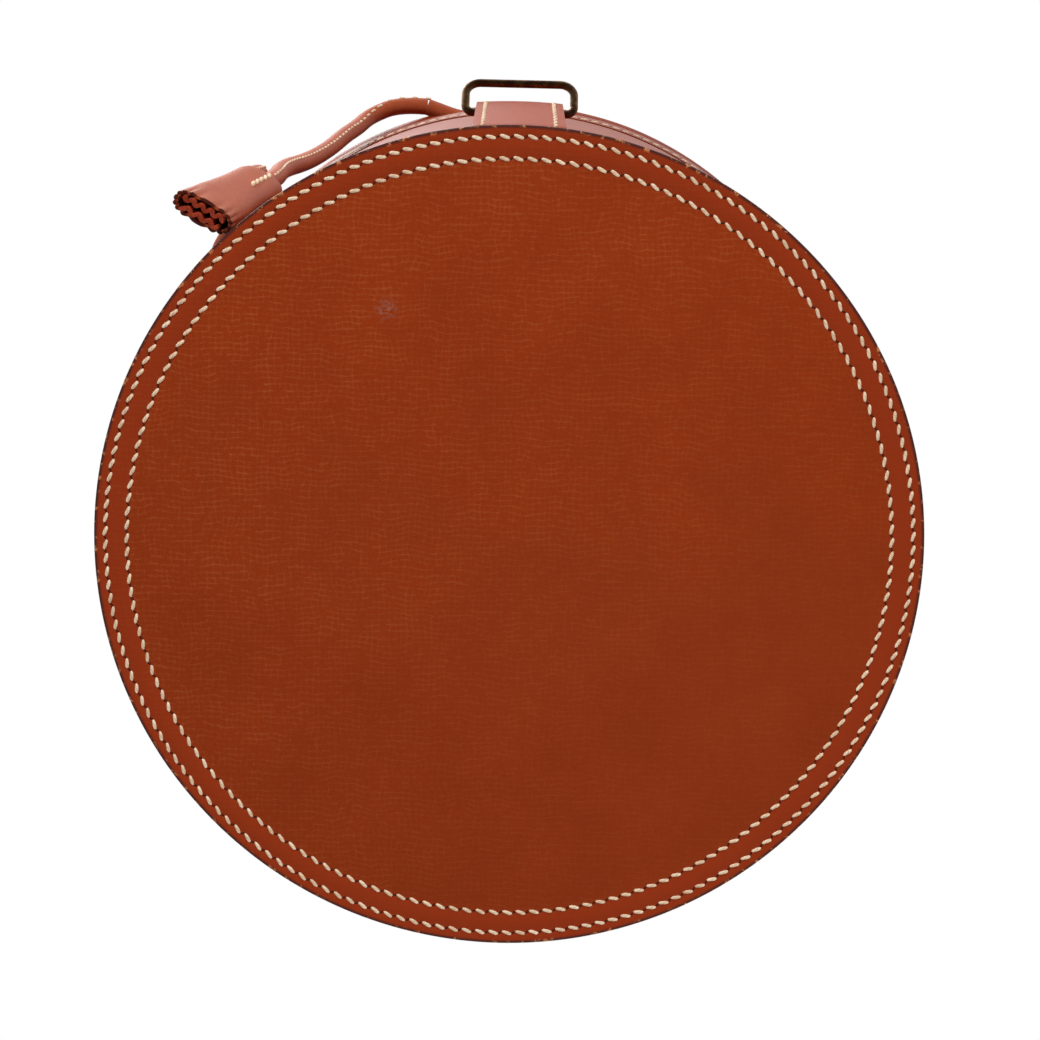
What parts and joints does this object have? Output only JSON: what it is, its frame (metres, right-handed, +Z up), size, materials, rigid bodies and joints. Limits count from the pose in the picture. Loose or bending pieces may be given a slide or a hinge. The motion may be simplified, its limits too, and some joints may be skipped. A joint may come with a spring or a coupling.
{
  "type": "hat box",
  "caption": "Cylindrical leather hat box with a drawstring mouth, a tasselled cord and a strap ring in a sewn tab at the front and the back.",
  "frame": {"origin": "centre of the base's underside, where the box stands", "axes": "+Z up through the mouth, -Y to the front strap ring, -X to the side that the tassel leans to"},
  "size_m": [0.2422, 0.264, 0.25],
  "materials": {
    "base_leather": "grained russet leather, waxed",
    "wall_leather": "grained russet leather",
    "casing_leather": "smooth russet leather",
    "tab_leather": "smooth russet leather, edges inked",
    "cord_leather": "stitched leather cord",
    "tassel_leather": "russet leather, edges inked",
    "board": "grey board",
    "suede": "suede",
    "brass": "dark patina"
  },
  "bodies": {
    "box": {"base_panel": "base_leather", "wall_panel": "wall_leather", "seam_strip": "wall_leather", "rim_casing": "casing_leather", "front_tab": "tab_leather", "back_tab": "tab_leather", "base_board": "board", "wall_stiffener": "board", "base_lining": "suede", "wall_lining": "suede", "drawstring": "cord_leather", "cord_right": "cord_leather", "cord_left": "cord_leather", "tassel_sleeve": "tassel_leather", "tassel_fringe": "tassel_leather"},
    "front_ring": {"front_ring": "brass"},
    "back_ring": {"back_ring": "brass"}
  },
  "joints": [
    {"name": "front_ring_swing", "type": "hinge", "parent": "box", "child": "front_ring", "pos_m": [0, -0.1222, 0.046], "axis": [1, 0, 0], "range_deg": [-55, 110]},
    {"name": "back_ring_swing", "type": "hinge", "parent": "box", "child": "back_ring", "pos_m": [0, 0.1222, 0.046], "axis": [-1, 0, 0], "range_deg": [-55, 110]}
  ]
}
